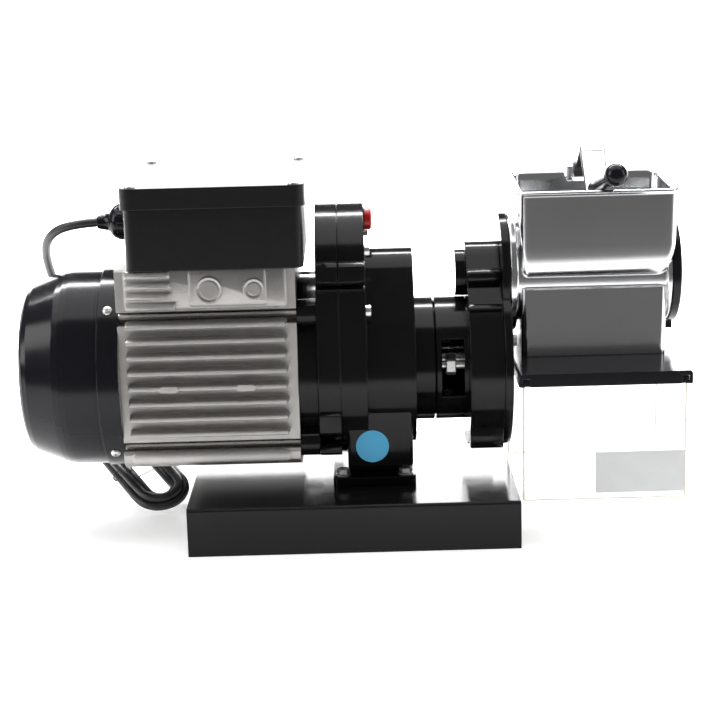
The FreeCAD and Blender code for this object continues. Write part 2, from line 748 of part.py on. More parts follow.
cut(head, "YZ_Plane", inner_left, "chute_length - 4", [[
    ("-(" + inner_half + ")", "hopper_knee + 0.1"), ("-26", "2"), ("26", "2"), (inner_half, "hopper_knee + 0.1"),
]])
cut(head, "YZ_Plane", "flange_length", "barrel_length", [("circle", "0", "0", "barrel_bore")])
cut(head, "YZ_Plane", chute_start + " + wall", "chute_length - wall * 2", [
    box_loop("-chute_half + wall", "chute_half - wall", "-(chute_drop) - 1", "-14"),
])
cut(head, "YZ_Plane", "0", "flange_length", [("circle", "0", "0", "drum_shaft_radius + bush_wall")])

drum_bushes = new_body("drum_bushes", "barrel_start", "0", "roller_height", True)
gear_back = "-cover_length - gearbox_length"
spin(drum_bushes, [
    ring(gear_back + " - 5", gear_back + " + 5", "drum_shaft_radius + running_fit", "drum_shaft_radius + bush_wall"),
    ring("-cover_length", "flange_length", "drum_shaft_radius + running_fit", "drum_shaft_radius + bush_wall"),
])
drum_shaft = new_body("drum_shaft", "barrel_start", "0", "roller_height")
spin(drum_shaft, [disc(gear_back + " - 4.5", "barrel_length + 2.5", "drum_shaft_radius")])
gear("roller_pinion", "gearbox_start + 7", "roller_height", "roller_pinion_teeth",
     "drum_shaft_radius", "gearbox_length - 9")
drum = new_body("grating_drum", "barrel_start", "0", "roller_height")
drum_left = "flange_length + 1"
drum_right = "barrel_length - 2.2"
spin(drum, [[
    (drum_left, "drum_shaft_radius"), (drum_left, "drum_radius"), (drum_right, "drum_radius"),
    (drum_right, "drum_shaft_radius"), (drum_right + " - 3", "drum_shaft_radius"),
    (drum_right + " - 3", "drum_radius - 1.5"), (drum_left + " + 3", "drum_radius - 1.5"),
    (drum_left + " + 3", "drum_shaft_radius"),
]])

# Grating head: twist-off end cover with a bush
end_cover = new_body("end_cover", "barrel_start + barrel_length", "0", "roller_height")
spin(end_cover, [[
    ("-1.6", "drum_shaft_radius + bush_wall - 2"), ("-1.6", "barrel_bore - running_fit"),
    ("0.2", "barrel_bore - running_fit"), ("0.2", "barrel_ring + 0.6"),
    ("end_cover_length - 1", "barrel_ring + 0.6"), ("end_cover_length", "barrel_ring - 0.4"),
    ("end_cover_length", "0"),
    ("3.5", "0"), ("3.5", "drum_shaft_radius + bush_wall - 2"),
]])
pad(end_cover, "YZ_Plane", "0.2", "end_cover_length - 1.2", [
    box_loop("-7", "7", "barrel_ring - 3", "barrel_ring + 5"),
    box_loop("-7", "7", "-barrel_ring - 5", "-barrel_ring + 3"),
])
cover_bush = new_body("end_cover_bush", "barrel_start + barrel_length", "0", "roller_height")
spin(cover_bush, [ring("-1.6", "3.5", "drum_shaft_radius + running_fit", "drum_shaft_radius + bush_wall - 2")])

# Press lever: pin, arched strap with knuckle, pusher, grip
hinge_x = "barrel_start + hinge_along"
pin = new_body("hinge_pin", hinge_x, "hinge_back", "roller_height + hinge_rise")
pin_half = "strap_half + side_gap + ear_thickness"
spin(pin, [disc("-(" + pin_half + ")", pin_half, "pin_radius")])
arm = new_body("press_arm", hinge_x, "hinge_back", "roller_height + hinge_rise")
pad(arm, "YZ_Plane", "-strap_half", "strap_half * 2", [
    ("circle", "0", "0", "knuckle_radius"), ("circle", "0", "0", "pin_radius + running_fit"),
])
strap_path = [
    (0.6, 4.6), (-6.5, 16.5), (-11.0, 21.8), (-17.5, 25.2), (-24.0, 26.0), (-40.0, 26.0),
    (-46.0, 24.8), (-50.4, 20.8), (-53.0, 15.0), (-60.0, -12.0),
]


def beside(path, distance):
    """The path moved sideways, to the side of its inner edge."""
    moved = []
    for index, spot in enumerate(path):
        before = path[max(index - 1, 0)]
        after = path[min(index + 1, len(path) - 1)]
        back = FreeCAD.Vector(spot[0] - before[0], spot[1] - before[1], 0)
        ahead = FreeCAD.Vector(after[0] - spot[0], after[1] - spot[1], 0)
        if back.Length == 0:
            back = FreeCAD.Vector(ahead)
        if ahead.Length == 0:
            ahead = FreeCAD.Vector(back)
        way = (back.normalize() + ahead.normalize()).normalize()
        shift = distance / way.dot(ahead)
        moved.append((spot[0] - way.y * shift, spot[1] + way.x * shift))
    return moved


inner_path = beside(strap_path, number("strap_thickness"))
inner_path[-1] = (inner_path[-1][0], -number("pusher_top"))
loop = [("%.4f" % a, "%.4f" % b) for a, b in strap_path + inner_path[::-1]]
pad(arm, "YZ_Plane", "-strap_half + 0.4", "strap_half * 2 - 0.8", [loop])
pusher = new_body("pusher", hinge_x, "hinge_back", "roller_height + hinge_rise")
pad(pusher, "YZ_Plane", "-pusher_half", "pusher_half * 2", [[
    ("-16", "-pusher_top"), ("-pusher_reach - 3", "-pusher_top"), ("-pusher_reach", "-pusher_top - 15"),
    ("-18", "-pusher_top - 8"),
]])
knee, foot = strap_path[-2:]
lean = math.atan2(knee[0] - foot[0], knee[1] - foot[1])
grip_share = 0.3
grip_back = foot[0] + (knee[0] - foot[0]) * grip_share
grip_rise = foot[1] + (knee[1] - foot[1]) * grip_share
grip = new_body("lever_grip", hinge_x + " + 3", "hinge_back + %.4f" % grip_back,
                "roller_height + hinge_rise + %.4f" % grip_rise)
way = FreeCAD.Vector(0, -math.cos(lean), math.sin(lean))
grip.Placement.Rotation = FreeCAD.Rotation(FreeCAD.Vector(1, 0, 0), way)
spin(grip, [[
    ("0", "0"), ("0", "4.6"), ("29", "3.8"), ("31.5", "6.6"), ("36", "7.6"), ("40.5", "6.6"), ("43.6", "2.5"),
    ("43.6", "0"),
]])

# Terminal box on the motor with lid, screws, capacitor and gland
box = new_body("terminal_box", "box_start", "0", "box_bottom")
pad(box, "XY_Plane", "0", "box_height", [[
    ("0", "-box_half", "6"), ("box_length", "-box_half", "6"),
    ("box_length", "box_half", "6"), ("0", "box_half", "6"),
]])
cut(box, "XY_Plane", "wall", "box_height", [[
    ("wall", "-box_half + wall", "3"), ("box_length - wall", "-box_half + wall", "3"),
    ("box_length - wall", "box_half - wall", "3"), ("wall", "box_half - wall", "3"),
]])
box_lid = new_body("terminal_box_lid", "box_start", "0", "box_bottom + box_height")
edge = "lid_overhang"
pad(box_lid, "XY_Plane", "0", "lid_height", [[
    ("-" + edge, "-box_half - " + edge, "8"), ("box_length + " + edge, "-box_half - " + edge, "8"),
    ("box_length + " + edge, "box_half + " + edge, "8"), ("-" + edge, "box_half + " + edge, "8"),
]])
cut(box_lid, "XY_Plane", "0", "lid_height - 3", [[
    ("2", "-box_half + 2", "3"), ("box_length - 2", "-box_half + 2", "3"),
    ("box_length - 2", "box_half - 2", "3"), ("2", "box_half - 2", "3"),
]])
lid_screws = new_body("lid_screws", "box_start", "0", "box_bottom + box_height + lid_height", True)
pad(lid_screws, "XY_Plane", "0", "1.8", [
    polygon(a, b + "(box_half - 4)", "3.6", 8) for a in ("5", "box_length - 5") for b in ("-", "")
])
capacitor = new_body("run_capacitor", "box_start + 20", "-32", "box_bottom + wall + 19")
spin(capacitor, [disc("0", "72", "16")])
pad(capacitor, "YZ_Plane", "20", "30", [box_loop("-12", "12", "-19", "-10")])
gland = new_body("cable_gland", "box_start", "gland_back", "box_bottom + gland_rise")
spin(gland, [[
    ("0", "0"), ("0", "gland_radius"), ("-gland_length + 8", "gland_radius"),
    ("-gland_length + 6", "gland_radius - 1.5"), ("-gland_length", "7"), ("-gland_length", "0"),
]])

# Fixings of the foot and the reducer
bolts = new_body("base_bolts", "front_case_start", "0", "base_height + foot_height", True)
bolt_x = (foot_start + " + 7", foot_start + " + foot_length - 7")
pad(bolts, "XY_Plane", "0", "5", [
    polygon(a, b + "(foot_half - 7)", "bolt_radius", 6) for a in bolt_x for b in ("-", "")
])
case_screws = new_body("case_screws", "front_case_start", "0", "axis_height", True)
screw_spots = [("-40", "84"), ("40", "84"), ("-51", "45"), ("51", "45")]
pad(case_screws, "YZ_Plane", "front_case_length", "3.5", [polygon(a, b, "3.8", 8) for a, b in screw_spots])

# Bin lid with slide rails, and the collecting bin
lid = new_body("bin_lid", "barrel_start", "0", "bin_top")
tray_end = "tray_start + tray_length"
tray = "tray_height"
pad(lid, "XZ_Plane", "-lid_back", "lid_front + lid_back", [[
    ("tray_start", "0"), ("tray_start + rail_wall + rail_lip", "0"),
    ("tray_start + rail_wall + rail_lip", "2.1"), ("tray_start + rail_wall", "2.1"),
    ("tray_start + rail_wall", "tray_height - 3.2"), (tray_end + " - rail_wall", "tray_height - 3.2"),
    (tray_end + " - rail_wall", "2.1"), (tray_end + " - rail_wall - rail_lip", "2.1"),
    (tray_end + " - rail_wall - rail_lip", "0"), (tray_end, "0"),
    (tray_end, tray, "2"), ("tray_start", tray, "2"),
]])
pad(lid, "XZ_Plane", "lid_front - 2.5", "2.5", [
    box_loop("tray_start + rail_wall + 5", tray_end + " - rail_wall - 5", "0", "tray_height - 2"),
])
cut(lid, "XY_Plane", "0", "tray_height", [
    box_loop(chute_start + " + wall", chute_end + " - wall", "-chute_half + 9", "chute_half - wall"),
])

bin_body = new_body("collecting_bin", "bin_start", "0", "bin_bottom")
rise = "bin_top - bin_bottom"
top = rise + " - slide_gap"
neck = "tray_start + rail_wall + rail_lip + slide_gap - bin_inset"
flange = "tray_start + rail_wall + slide_gap - bin_inset"
low_flange = rise + " + 2.1 + slide_gap"
high_flange = rise + " + tray_height - 3.2 - slide_gap"
left_side = [
    ("1", "0"), ("0", "1"), ("0", top), (neck, top), (neck, low_flange), (flange, low_flange),
    (flange, high_flange), (neck + " + 2", high_flange), (neck + " + 2", top + " - 4"),
    ("bin_wall", top + " - 6"), ("bin_wall", "bin_wall"),
]
right_side = [("bin_length - (" + c[0] + ")",) + tuple(c[1:]) for c in reversed(left_side)]
pad(bin_body, "XZ_Plane", "-bin_back", "bin_front + bin_back", [left_side + right_side])
for start in ("-bin_back", "bin_front - bin_wall"):
    pad(bin_body, "XZ_Plane", start, "bin_wall", [box_loop("1", "bin_length - 1", "2", top)])

# Mains cord: tube from the gland to the tied hank, and the plug lead
cord_route = [
    (-173.75, 10.0, 212.0),
    (-196.0, 12.0, 210.5),
    (-212.0, 24.0, 200.0),
    (-218.0, 46.0, 183.0),
    (-217.0, 71.0, 158.0),
    (-212.0, 88.0, 124.0),
    (-204.0, 95.0, 98.0),
    (-198.0, 95.0, 72.0),
    (-195.0, 94.0, 50.0),
]
lead_route = [
    (-153.0, 58.0, 31.4),
    (-143.0, 78.0, 22.0),
    (-133.0, 97.0, 14.0),
    (-112.0, 110.5, 12.3),
    (-86.0, 110.5, 12.3),
]


cord_sides = 8


def cord_wire(points):
    spots = [FreeCAD.Vector(*p) for p in points]
    parts = []
    last = spots[0]
    for index in range(1, len(spots) - 1):
        here = spots[index]
        back = spots[index - 1] - here
        ahead = spots[index + 1] - here
        shorter = min(back.Length, ahead.Length)
        half = (math.pi - back.getAngle(ahead)) / 2
        radius = 0.45 * shorter / math.tan(half)
        reach = 0.45 * shorter
        back.normalize()
        ahead.normalize()
        inward = (back + ahead).normalize()
        first = here + back * reach
        second = here + ahead * reach
        middle = here + inward * (radius / math.cos(half) - radius)
        parts.append(Part.LineSegment(last, first).toShape())
        parts.append(Part.Arc(first, middle, second).toShape())
        last = second
        print("cord turn", index, "radius", round(radius, 1), "turn", round(math.degrees(2 * half), 1))
    parts.append(Part.LineSegment(last, spots[-1]).toShape())
    return Part.Wire(parts)


def cord_tube(label, points):
    wire = cord_wire(points)
    start = FreeCAD.Vector(*points[0])
    way = FreeCAD.Vector(*points[1]) - start
    radius = number("cord_radius")
    area = math.pi * radius ** 2
    if cord_sides:
        radius = math.sqrt(2 * area / (cord_sides * math.sin(2 * math.pi / cord_sides)))
    turn = FreeCAD.Rotation(FreeCAD.Vector(0, 0, 1), way)
    corners = []
    for step in range(cord_sides):
        angle = 2 * math.pi * step / cord_sides
        spot = FreeCAD.Vector(radius * math.cos(angle), radius * math.sin(angle), 0)
        corners.append(start + turn.multVec(spot))
    ring_wire = Part.makePolygon(corners + corners[:1])
    tube = wire.makePipeShell([ring_wire], True, False)
    if tube.ShapeType != "Solid":
        tube = Part.Solid(tube)
    body = doc.addObject("Part::Feature", label)
    body.Label = label
    body.Shape = tube
    print(label, "volume ratio", round(tube.Volume / (area * wire.Length), 4))
    nodes.append(body)


cord_tube("power_cord", cord_route)
cord_tube("plug_lead", lead_route)

plug = new_body("power_plug")
plug.Placement.Base = FreeCAD.Vector(*lead_route[-1])
for axis in ("x", "y", "z"):
    plug.setExpression("Placement.Base." + axis, None)
plug.Placement.Base = FreeCAD.Vector(*lead_route[-1])
spin(plug, [disc("0", "12", "cord_radius + 2"), disc("12", "36", "12")])
pad(plug, "YZ_Plane", "36", "19", [polygon(a + "9.5", "0", "2.4", 8) for a in ("", "-")])

# Hank: closed outer shape of the tied coil, leaning back under the motor
hank = new_body("cord_hank")
path = new_sketch(hank, "XY_Plane")
fold = number("hank_fold")
run = number("hank_straight")
left_fold = path.addGeometry(Part.Arc(FreeCAD.Vector(0, fold, 0), FreeCAD.Vector(-fold, 0, 0),
                                      FreeCAD.Vector(0, -fold, 0)))
right_fold = path.addGeometry(Part.Arc(FreeCAD.Vector(run, -fold, 0), FreeCAD.Vector(run + fold, 0, 0),
                                       FreeCAD.Vector(run, fold, 0)))
lower_run = path.addGeometry(Part.LineSegment(FreeCAD.Vector(0, -fold, 0), FreeCAD.Vector(run, -fold, 0)))
upper_run = path.addGeometry(Part.LineSegment(FreeCAD.Vector(run, fold, 0), FreeCAD.Vector(0, fold, 0)))
rules = Rules(path)
rules.add("Tangent", left_fold, 2, lower_run, 1)
rules.add("Tangent", lower_run, 2, right_fold, 1)
rules.add("Tangent", right_fold, 2, upper_run, 1)
rules.add("Tangent", upper_run, 2, left_fold, 1)
rules.add("Coincident", left_fold, 3, -1, 1)
rules.locate(right_fold, 3, "hank_straight", "0")
rules.size("Radius", (left_fold,), "hank_fold")
rules.finish()
section = new_sketch(hank, "YZ_Plane")
draw(section, [polygon("hank_fold", "0", "hank_radius", 8)])
pipe = hank.newObject("PartDesign::AdditivePipe", "cord_hank_pipe")
pipe.Profile = section
pipe.Spine = (path, [])
hank.Tip = pipe
tilt = FreeCAD.Rotation(FreeCAD.Vector(1, 0, 0), 25)
turn = FreeCAD.Rotation(FreeCAD.Vector(0, 0, 1), 123)
hank_base = FreeCAD.Vector(-141.25, 18.0, 14.4)
for axis in ("x", "y", "z"):
    hank.setExpression("Placement.Base." + axis, None)
hank.Placement = FreeCAD.Placement(hank_base, tilt.multiply(turn))

doc.recompute()

failed = [o.Name for o in doc.Objects if "Invalid" in o.State or "Error" in o.State]
print("failed objects:", failed)
for node in nodes:
    shape = node.Shape
    if shape.isNull() or not shape.isValid():
        print("bad shape:", node.Label)
        failed.append(node.Label)
        continue
    box_size = shape.BoundBox
    print(node.Label, len(shape.Solids), round(shape.Volume, 1), [round(v, 2) for v in (
        box_size.XMin, box_size.XMax, box_size.YMin, box_size.YMax, box_size.ZMin, box_size.ZMax)])
    shape.exportStep("parts/" + node.Label + ".step")
if failed:
    raise RuntimeError("failed: " + ", ".join(failed))
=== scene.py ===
import json
import math
import bpy
import bmesh
from mathutils import Matrix, Vector


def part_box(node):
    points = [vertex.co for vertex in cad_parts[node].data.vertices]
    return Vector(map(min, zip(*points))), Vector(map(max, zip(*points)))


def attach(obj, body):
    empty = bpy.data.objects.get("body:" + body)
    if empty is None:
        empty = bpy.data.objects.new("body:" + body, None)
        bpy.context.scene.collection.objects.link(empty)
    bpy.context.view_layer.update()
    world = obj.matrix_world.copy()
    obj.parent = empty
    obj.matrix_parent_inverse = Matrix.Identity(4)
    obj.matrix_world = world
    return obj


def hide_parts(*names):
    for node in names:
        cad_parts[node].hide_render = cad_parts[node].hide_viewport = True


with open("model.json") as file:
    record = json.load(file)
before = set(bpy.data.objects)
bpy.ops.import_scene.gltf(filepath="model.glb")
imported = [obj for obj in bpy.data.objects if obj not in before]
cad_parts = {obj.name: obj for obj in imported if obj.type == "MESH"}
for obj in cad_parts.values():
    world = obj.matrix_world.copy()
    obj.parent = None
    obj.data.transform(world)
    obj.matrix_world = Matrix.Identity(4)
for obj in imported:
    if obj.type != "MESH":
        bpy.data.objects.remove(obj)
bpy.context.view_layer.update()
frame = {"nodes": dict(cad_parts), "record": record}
nodes = frame["nodes"]
scene = bpy.context.scene
MM = 0.001

# Camera at the photo's angle
pitch, yaw, roll = 0.238, 0.003, -0.026
ahead = Vector((math.sin(yaw) * math.cos(pitch), math.cos(yaw) * math.cos(pitch), -math.sin(pitch)))
side = Vector((math.cos(yaw), -math.sin(yaw), 0))
above = side.cross(ahead)
right = side * math.cos(roll) + above * math.sin(roll)
up = above * math.cos(roll) - side * math.sin(roll)
camera_data = bpy.data.cameras.new("camera")
camera_data.lens = 85.75
camera_data.sensor_width = 36
camera = bpy.data.objects.new("camera", camera_data)
scene.collection.objects.link(camera)
turn = Matrix((right, up, -ahead)).transposed().to_4x4()
camera.matrix_world = Matrix.Translation((0.00225, -1.1708, 0.3951)) @ turn
scene.camera = camera
scene.view_settings.view_transform = "Standard"


# Materials
def shader(name, colour, metallic=0.0, rough=0.3, bump=0.0, scale=400.0, stretch=(1, 1, 1),
           rough_spread=0.08, shade_spread=0.06, edge=0.0, coat=0.0, alpha=1.0, ior=1.5, gloss=0.5):
    material = bpy.data.materials.new(name)
    material.use_nodes = True
    tree = material.node_tree
    main = tree.nodes["Principled BSDF"]
    main.inputs["Metallic"].default_value = metallic
    main.inputs["IOR"].default_value = ior
    main.inputs["Specular IOR Level"].default_value = gloss
    main.inputs["Coat Weight"].default_value = coat
    main.inputs["Coat Roughness"].default_value = 0.08
    main.inputs["Alpha"].default_value = alpha
    place = tree.nodes.new("ShaderNodeTexCoord")
    mapping = tree.nodes.new("ShaderNodeMapping")
    mapping.inputs["Scale"].default_value = stretch
    noise = tree.nodes.new("ShaderNodeTexNoise")
    noise.inputs["Scale"].default_value = scale
    noise.inputs["Detail"].default_value = 4
    tree.links.new(place.outputs["Object"], mapping.inputs["Vector"])
    tree.links.new(mapping.outputs["Vector"], noise.inputs["Vector"])
    spread = tree.nodes.new("ShaderNodeMapRange")
    spread.inputs["To Min"].default_value = max(0.0, rough - rough_spread)
    spread.inputs["To Max"].default_value = rough + rough_spread
    tree.links.new(noise.outputs["Fac"], spread.inputs["Value"])
    tree.links.new(spread.outputs["Result"], main.inputs["Roughness"])
    tint = tree.nodes.new("ShaderNodeMix")
    tint.data_type = "RGBA"
    low = [c * (1 - shade_spread) for c in colour]
    high = [min(1.0, c * (1 + shade_spread)) for c in colour]
    tint.inputs[6].default_value = (*low, 1)
    tint.inputs[7].default_value = (*high, 1)
    wide = tree.nodes.new("ShaderNodeTexNoise")
    wide.inputs["Scale"].default_value = scale * 0.08
    tree.links.new(place.outputs["Object"], wide.inputs["Vector"])
    tree.links.new(wide.outputs["Fac"], tint.inputs[0])
    tree.links.new(tint.outputs[2], main.inputs["Base Color"])
    normal = None
    if edge:
        bevel = tree.nodes.new("ShaderNodeBevel")
        bevel.samples = 6
        bevel.inputs["Radius"].default_value = edge
        normal = bevel.outputs["Normal"]
    if bump:
        relief = tree.nodes.new("ShaderNodeBump")
        relief.inputs["Strength"].default_value = bump
        relief.inputs["Distance"].default_value = 0.0004
        tree.links.new(noise.outputs["Fac"], relief.inputs["Height"])
        if normal:
            tree.links.new(normal, relief.inputs["Normal"])
        normal = relief.outputs["Normal"]
    if normal:
        tree.links.new(normal, main.inputs["Normal"])
    return material


looks = {}
for name, colour, values in (
    ("gloss_black", (0.006, 0.006, 0.0065),
     dict(rough=0.14, rough_spread=0.05, bump=0.05, scale=120, edge=0.0014, gloss=0.2)),
    ("black_plastic", (0.008, 0.008, 0.0105),
     dict(rough=0.16, rough_spread=0.05, bump=0.04, scale=150, edge=0.001, gloss=0.22)),
    ("satin_black", (0.012, 0.012, 0.012), dict(rough=0.36, bump=0.25, scale=1500, edge=0.0012, gloss=0.25)),
    ("cast_aluminium", (0.46, 0.447, 0.428),
     dict(metallic=0.85, rough=0.42, bump=0.6, scale=1100, shade_spread=0.12, edge=0.0008)),
    ("polished_aluminium", (0.72, 0.72, 0.73),
     dict(metallic=1, rough=0.17, rough_spread=0.05, bump=0.035, scale=240, stretch=(1, 1, 7),
          shade_spread=0.08, edge=0.0012)),
    ("zinc", (0.74, 0.74, 0.72), dict(metallic=0.9, rough=0.3, bump=0.15, scale=900, edge=0.0004)),
    ("chrome", (0.85, 0.85, 0.86),
     dict(metallic=1, rough=0.12, bump=0.05, scale=300, stretch=(1, 1, 12), edge=0.0004)),
    ("steel", (0.55, 0.55, 0.56), dict(metallic=1, rough=0.26, bump=0.1, scale=500, edge=0.0003)),
    ("core_steel", (0.3, 0.3, 0.32), dict(metallic=1, rough=0.4, bump=0.4, scale=900, stretch=(8, 1, 1))),
    ("copper", (0.7, 0.3, 0.13), dict(metallic=0.9, rough=0.35, bump=0.6, scale=700, stretch=(1, 6, 6))),
    ("bronze", (0.6, 0.42, 0.2), dict(metallic=1, rough=0.35, bump=0.2, scale=900)),
    ("capacitor_white", (0.8, 0.8, 0.78), dict(rough=0.4, bump=0.1, scale=600)),
    ("red", (0.55, 0.008, 0.006), dict(rough=0.25, bump=0.08, scale=500, edge=0.0008)),
    ("clear", (0.86, 0.85, 0.76),
     dict(rough=0.06, rough_spread=0.03, bump=0.03, scale=90, alpha=0.14, shade_spread=0.01, ior=1.45)),
    ("cord_black", (0.02, 0.019, 0.02), dict(rough=0.36, bump=0.3, scale=1300)),
):
    looks[name] = shader(name, colour, **values)
for entry in frame["record"]["subparts"]:
    part = nodes[entry["node"]]
    part.data.materials.clear()
    part.data.materials.append(looks[entry["material_slot"]])


def add_mesh(name, shape, body, look):
    bmesh.ops.recalc_face_normals(shape, faces=shape.faces)
    data = bpy.data.meshes.new(name)
    shape.to_mesh(data)
    shape.free()
    for face in data.polygons:
        face.use_smooth = True
    data.set_sharp_from_angle(angle=math.radians(38))
    item = bpy.data.objects.new(name, data)
    scene.collection.objects.link(item)
    data.materials.append(looks[look])
    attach(item, body)
    return item


# Cord: one lead from the gland through the tied hank to the plug
route = [
    (-173.75, 10.0, 212.0), (-196.0, 12.0, 210.5), (-212.0, 24.0, 200.0), (-218.0, 46.0, 183.0),
    (-217.0, 71.0, 158.0), (-212.0, 88.0, 124.0), (-204.0, 95.0, 98.0), (-198.0, 95.0, 72.0),
]
lead = [(-143.0, 78.0, 22.0), (-133.0, 97.0, 14.0), (-112.0, 110.5, 12.3), (-86.0, 110.5, 12.3)]
fold, run, turns = 14.0, 87.0, 3.6
hank_turn = Matrix.Rotation(math.radians(25), 3, "X") @ Matrix.Rotation(math.radians(123), 3, "Z")
hank_place = Vector((-141.25, 18.0, 14.4))
loop_length = 2 * run + 2 * math.pi * fold


def bend(middle, angle):
    """Point and outward direction at an angle on a round end of the racetrack."""
    outward = Vector((math.cos(angle), math.sin(angle), 0))
    return Vector((middle, 0, 0)) + outward * fold, outward


def on_loop(walked):
    """Point and outward direction on the racetrack, from the top of the far fold."""
    walked %= loop_length
    quarter = math.pi * fold / 2
    if walked < quarter:
        return bend(run, walked / fold)
    walked -= quarter
    if walked < run:
        return Vector((run - walked, fold, 0)), Vector((0, 1, 0))
    walked -= run
    if walked < 2 * quarter:
        return bend(0, math.pi / 2 + walked / fold)
    walked -= 2 * quarter
    if walked < run:
        return Vector((walked, -fold, 0)), Vector((0, -1, 0))
    return bend(run, -math.pi / 2 + (walked - run) / fold)


points = [Vector(p) for p in route]
strand_gap = 4.2
point_gap = 7
total = turns * loop_length
steps = int(total / point_gap)
for step in range(1, steps + 1):
    walked = total * step / steps
    spot, outward = on_loop(walked)
    angle = math.pi / 2 * walked / loop_length + 0.7
    spot = spot + outward * strand_gap * math.cos(angle) + Vector((0, 0, strand_gap * math.sin(angle)))
    points.append(hank_place + hank_turn @ spot)
points += [Vector(p) for p in lead]
curve = bpy.data.curves.new("mains_cord", "CURVE")
curve.dimensions = "3D"
curve.bevel_depth = 3.25 * MM
curve.bevel_resolution = 6
curve.use_fill_caps = True
spline = curve.splines.new("NURBS")
spline.points.add(len(points) - 1)
for item, spot in zip(spline.points, points):
    item.co = (*(spot * MM), 1)
spline.order_u = 3
spline.use_endpoint_u = True
spline.resolution_u = 6
curve.materials.append(looks["cord_black"])
mains_cord = bpy.data.objects.new("mains_cord", curve)
scene.collection.objects.link(mains_cord)
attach(mains_cord, "frame")
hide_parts("power_cord", "cord_hank", "plug_lead")


# Turned and built-up detail
def lathe(shape, profile, place, axis, segments=28):
    """Adds a turned form: profile is (radius, height) pairs along axis from place."""
    spin = Vector((0, 0, 1)).rotation_difference(Vector(axis)).to_matrix()
    rings = []
    for radius, height in profile:
        ring = []
        for step in range(segments):
            angle = 2 * math.pi * step / segments
            spot = spin @ Vector((radius * math.cos(angle), radius * math.sin(angle), height))
            ring.append(shape.verts.new((Vector(place) + spot) * MM))
        rings.append(ring)
    for low, high in zip(rings, rings[1:]):
        for step in range(segments):
            after = (step + 1) % segments
            shape.faces.new((low[step], low[after], high[after], high[step]))
    shape.faces.new(list(reversed(rings[0])))
    shape.faces.new(rings[-1])


def block(shape, low, high, turn=None, place=(0, 0, 0)):
    corners = []
    for x in (low[0], high[0]):
        for y in (low[1], high[1]):
            for z in (low[2], high[2]):
                spot = Vector((x, y, z))
                if turn:
                    spot = turn @ spot
                corners.append(shape.verts.new((spot + Vector(place)) * MM))
    for face in ((0, 1, 3, 2), (4, 6, 7, 5), (0, 4, 5, 1), (2, 3, 7, 6), (0, 2, 6, 4), (1, 5, 7, 3)):
        shape.faces.new([corners[i] for i in face])


def pan_head(shape, place, axis, radius, height):
    profile = [(radius, 0), (radius, height * 0.35), (radius * 0.85, height * 0.75), (radius * 0.5, height),
               (0.01, height)]
    lathe(shape, profile, place, axis)


# Dark cross laid just over a screw head's top, with no cut: painted shade standing in for the recess
def painted_recess_shade(shape, place, axis, radius, height):
    spin = Vector((0, 0, 1)).rotation_difference(Vector(axis)).to_matrix()
    arm = radius * 0.55
    for a, b in ((arm, radius * 0.14), (radius * 0.14, arm)):
        block(shape, (-a, -b, height - 0.3), (a, b, height + 0.06), spin, place)


axis_z = 112.0
cowl_screw_x, cowl_screw_radius = -162.1, 69.45
lid_top, foot_top = 245.6, 39
heads, slot_painted_shades = bmesh.new(), bmesh.new()
for step in range(4):
    angle = math.radians(45 + 90 * step)
    way = Vector((0, math.cos(angle), math.sin(angle)))
    spot = Vector((cowl_screw_x, 0, axis_z)) + way * cowl_screw_radius
    pan_head(heads, spot, way, 3.4, 2.2)
    painted_recess_shade(slot_painted_shades, spot, way, 3.4, 2.2)
cowl_heads = add_mesh("cowl_screw_heads", heads, "frame", "zinc")
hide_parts("cowl_screws")
# Dark crosses on the cowl screw heads: painted shade of their recesses
add_mesh("cowl_screw_slot_painted_shade", slot_painted_shades, "frame", "core_steel")

heads, slot_painted_shades = bmesh.new(), bmesh.new()
low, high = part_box("lid_screws")
for x in (low.x / MM + 3.6, high.x / MM - 3.6):
    for y in (low.y / MM + 3.6, high.y / MM - 3.6):
        pan_head(heads, (x, y, lid_top), (0, 0, 1), 3.6, 1.8)
        painted_recess_shade(slot_painted_shades, (x, y, lid_top), (0, 0, 1), 3.6, 1.7)
lid_heads = add_mesh("lid_screw_heads", heads, "frame", "zinc")
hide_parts("lid_screws")
# Dark crosses on the lid screw heads: painted shade of their recesses
add_mesh("lid_screw_slot_painted_shade", slot_painted_shades, "frame", "core_steel")

# Cable gland: hex foot, dome nut and tapered sleeve, 28 mm long
gland = bmesh.new()
lathe(gland, [(11.6, 0), (12.4, 0.8), (12.4, 5.6), (11.6, 6.4)], (-145.8, 10, 212), (-1, 0, 0), 6)
lathe(gland, [(10.6, 6), (12.1, 7), (12.1, 13.5), (11.4, 15.6), (9.6, 17.6), (7.6, 19), (6.4, 20), (5.4, 24),
              (4.6, 27.9)], (-145.8, 10, 212), (-1, 0, 0), 48)
for step in range(12):
    angle = math.pi / 6 * step
    way = Vector((0, math.cos(angle), math.sin(angle)))
    spin = Matrix.Rotation(angle, 3, "X")
    block(gland, (-159, 11.6, -0.8), (-152.9, 12.7, 0.8), spin, (0, 10, 212))
gland_nut = add_mesh("gland_nut", gland, "frame", "black_plastic")
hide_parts("cable_gland")

# Flanged hex bolts of the foot
heads = bmesh.new()
low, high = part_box("base_bolts")
for x in (low.x / MM + 6, high.x / MM - 6):
    for y in (low.y / MM + 5.2, high.y / MM - 5.2):
        lathe(heads, [(5.2, 0), (5.2, 0.7), (4.7, 1.2), (4.4, 1.3)], (x, y, foot_top), (0, 0, 1), 32)
        lathe(heads, [(4.7, 1.0), (4.7, 4.3), (4.1, 4.9), (3.2, 4.95), (3.1, 4.7)],
              (x, y, foot_top), (0, 0, 1), 6)
bolt_heads = add_mesh("foot_bolt_heads", heads, "frame", "zinc")
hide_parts("base_bolts")


